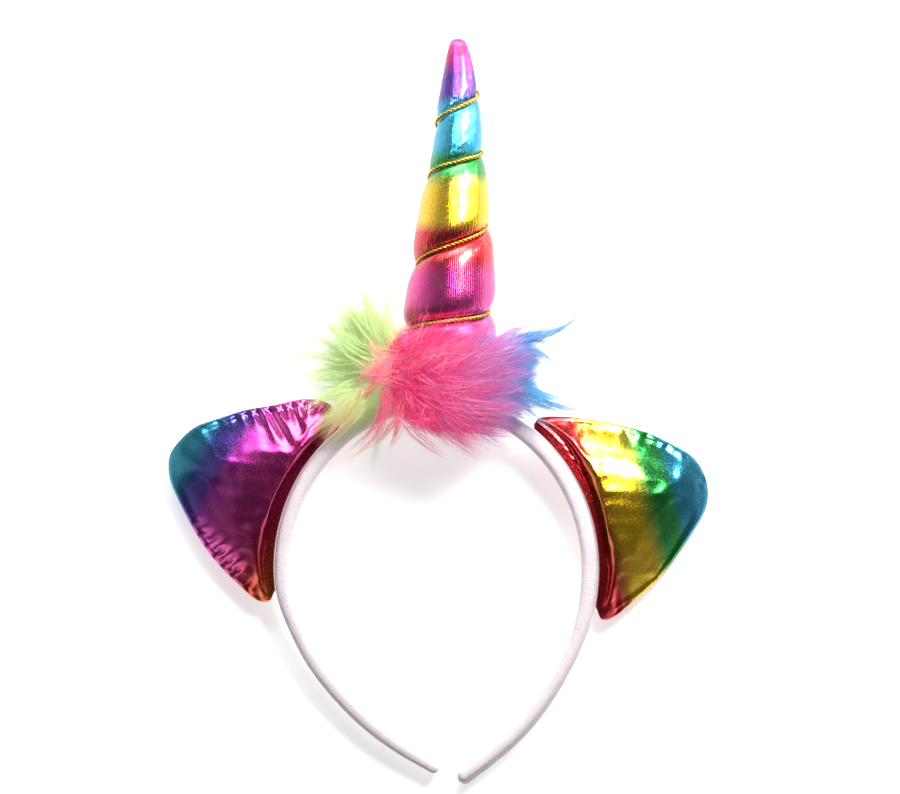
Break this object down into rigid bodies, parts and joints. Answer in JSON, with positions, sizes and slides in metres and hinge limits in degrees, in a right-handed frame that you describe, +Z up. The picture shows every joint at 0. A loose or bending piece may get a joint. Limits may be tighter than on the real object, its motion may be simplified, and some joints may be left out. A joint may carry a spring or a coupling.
{
  "type": "unicorn horn headband",
  "caption": "Costume headband: a velvet arch with a stuffed foil-cloth unicorn horn, padded pointed ears and a collar of long multicolour fur.",
  "frame": {"origin": "centre of the footprint of the headband as it lies on its back, at table height", "axes": "+Y runs from the arms' ends over the crown to the horn's tip, +Z points up off the table towards the headband's front, +X is to the right seen from the front"},
  "size_m": [0.2204, 0.3022, 0.0591],
  "materials": {
    "white_velvet": "ribbed velvet",
    "rainbow_foil_horn": "metallic foil on knitted cloth, rainbow along the horn",
    "rainbow_foil_left_ear": "metallic foil on knitted cloth, teal to magenta and red",
    "rainbow_foil_right_ear": "metallic foil on knitted cloth, red and gold to green and blue",
    "gold_thread": "twisted metallic thread",
    "pink_fur": "long soft pile, lime, pink, lilac and blue"
  },
  "bodies": {
    "root": {"headband": "white_velvet", "horn": "rainbow_foil_horn", "gold_cord": "gold_thread", "ear_left": "rainbow_foil_left_ear", "ear_right": "rainbow_foil_right_ear", "fur_collar": "pink_fur"}
  },
  "joints": []
}
